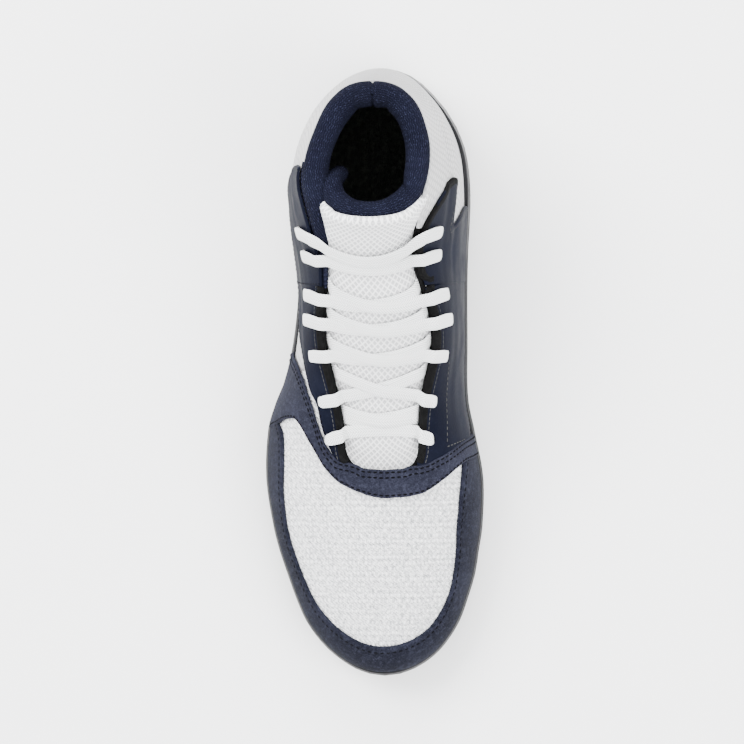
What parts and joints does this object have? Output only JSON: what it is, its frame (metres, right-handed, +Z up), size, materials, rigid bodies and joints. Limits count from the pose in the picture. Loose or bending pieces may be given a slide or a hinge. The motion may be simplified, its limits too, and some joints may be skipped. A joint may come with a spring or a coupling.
{
  "type": "wrestling shoe",
  "caption": "Low-cut boot-style wrestling shoe for the right foot, with a knit shell, suede toe guard, lace-up instep and thin rubber cup sole.",
  "frame": {"origin": "middle of the shoe's box, on the plane that the tread stands on", "axes": "+Z up, +Y from toe to heel, +X towards the inner (medial) side of this right shoe"},
  "size_m": [0.1045, 0.292, 0.1404],
  "materials": {
    "outsole": "charcoal moulded rubber, satin",
    "insole": "dark sock board",
    "knit": "white knitted mesh",
    "lining": "navy padded lining",
    "suede": "navy suede with a soft nap",
    "nubuck": "greyed navy nubuck",
    "leather": "smooth navy leather, satin",
    "lace": "white braided flat lace"
  },
  "bodies": {
    "root": {"outsole": "outsole", "insole": "insole", "upper": "knit", "tongue": "knit", "collar_lining": "lining", "toe_guard": "suede", "vamp_saddle": "nubuck", "eyestay_medial": "leather", "eyestay_lateral": "leather", "flap_medial": "leather", "flap_lateral": "leather", "lace_bar_1": "lace", "lace_cross_2": "lace", "lace_cross_3": "lace", "lace_cross_4": "lace", "lace_cross_5": "lace", "lace_top": "lace"}
  },
  "joints": []
}
